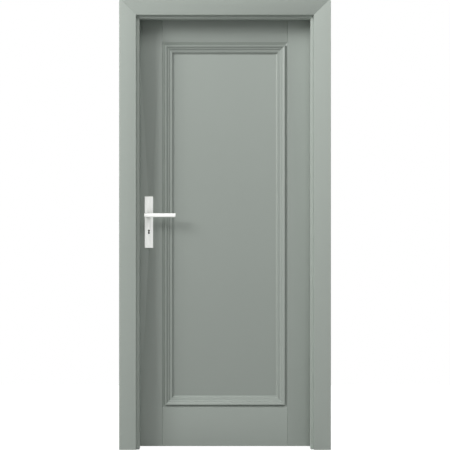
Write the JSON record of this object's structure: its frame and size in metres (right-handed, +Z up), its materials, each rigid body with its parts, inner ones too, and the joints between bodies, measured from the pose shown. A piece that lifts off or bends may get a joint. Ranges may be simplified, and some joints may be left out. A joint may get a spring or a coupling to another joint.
{
  "type": "interior door with frame",
  "caption": "Rebated interior door in its frame, with a recessed panel, raised mouldings, barrel hinges, a mortise lock and lever handles.",
  "frame": {"origin": "on the floor, under the middle of the whole assembly", "axes": "+X across the doorway from the lock side to the hinge side, +Y through the wall towards the side that the leaf opens to, +Z up"},
  "size_m": [0.989, 0.1944, 2.11],
  "materials": {
    "frame_paint": "satin painted, grey green",
    "leaf_paint": "satin painted, grey green",
    "bare_wood": "bare beech",
    "seal_rubber": "matt grey",
    "white_paint": "satin white",
    "bush_plastic": "matt white",
    "nickel_steel": "satin nickel plated",
    "zinc_steel": "zinc plated"
  },
  "bodies": {
    "frame": {"architrave_back_head": "frame_paint", "architrave_back_left": "frame_paint", "architrave_back_right": "frame_paint", "architrave_front_head": "frame_paint", "architrave_front_left": "frame_paint", "architrave_front_right": "frame_paint", "frame_corner_screws": "zinc_steel", "hinge_lower_frame_knuckle": "nickel_steel", "hinge_lower_pin": "nickel_steel", "hinge_middle_frame_knuckle": "nickel_steel", "hinge_middle_pin": "nickel_steel", "hinge_upper_frame_knuckle": "nickel_steel", "hinge_upper_pin": "nickel_steel", "hinge_washers": "bush_plastic", "jamb_head": "frame_paint", "jamb_hinge_side": "frame_paint", "jamb_lock_side": "frame_paint", "seal_head": "seal_rubber", "seal_hinge_side": "seal_rubber", "seal_lock_side": "seal_rubber", "strike_plate": "nickel_steel", "strike_plate_screws": "zinc_steel"},
    "leaf": {"centre_panel": "leaf_paint", "handle_plate_back": "white_paint", "handle_plate_bolts": "white_paint", "handle_plate_front": "white_paint", "handle_plate_sleeves": "white_paint", "hinge_lower_leaf_knuckle": "nickel_steel", "hinge_middle_leaf_knuckle": "nickel_steel", "hinge_upper_leaf_knuckle": "nickel_steel", "latch_spring": "zinc_steel", "lever_bush_back": "bush_plastic", "lever_bush_front": "bush_plastic", "lock_case": "zinc_steel", "lock_cover": "zinc_steel", "lock_cover_screws": "zinc_steel", "lock_faceplate": "nickel_steel", "lock_faceplate_screws": "zinc_steel", "moulding_back_bottom": "leaf_paint", "moulding_back_left": "leaf_paint", "moulding_back_right": "leaf_paint", "moulding_back_top": "leaf_paint", "moulding_front_bottom": "leaf_paint", "moulding_front_left": "leaf_paint", "moulding_front_right": "leaf_paint", "moulding_front_top": "leaf_paint", "rail_bottom": "leaf_paint", "rail_dowels": "bare_wood", "rail_top": "leaf_paint", "stile_hinge_side": "leaf_paint", "stile_lock_side": "leaf_paint"},
    "handle": {"lever_front": "white_paint", "lever_back": "white_paint", "spindle": "zinc_steel", "lock_follower": "zinc_steel", "lever_set_screws": "zinc_steel"},
    "latch": {"latch_bolt": "nickel_steel"},
    "dead_bolt": {"dead_bolt": "nickel_steel"}
  },
  "joints": [
    {"name": "door_swing", "type": "hinge", "parent": "frame", "child": "leaf", "pos_m": [0.431, 0.032, 1], "axis": [0, 0, -1], "range_deg": [0, 170]},
    {"name": "handle_turn", "type": "hinge", "parent": "leaf", "child": "handle", "pos_m": [-0.359, 0.01925, 1.096], "axis": [0, 1, 0], "range_deg": [0, 35], "stiffness_Nm_per_rad": 1.5, "springref_deg": -28.65},
    {"name": "latch_slide", "type": "slide", "parent": "leaf", "child": "latch", "axis": [1, 0, 0], "range_m": [0, 0.011], "deforming": ["latch_spring"]},
    {"name": "dead_bolt_slide", "type": "slide", "parent": "leaf", "child": "dead_bolt", "axis": [-1, 0, 0], "range_m": [0, 0.014]}
  ],
  "couplings": [
    {"joint": "latch_slide", "follows": "handle_turn", "m_per_rad": 0.018}
  ]
}
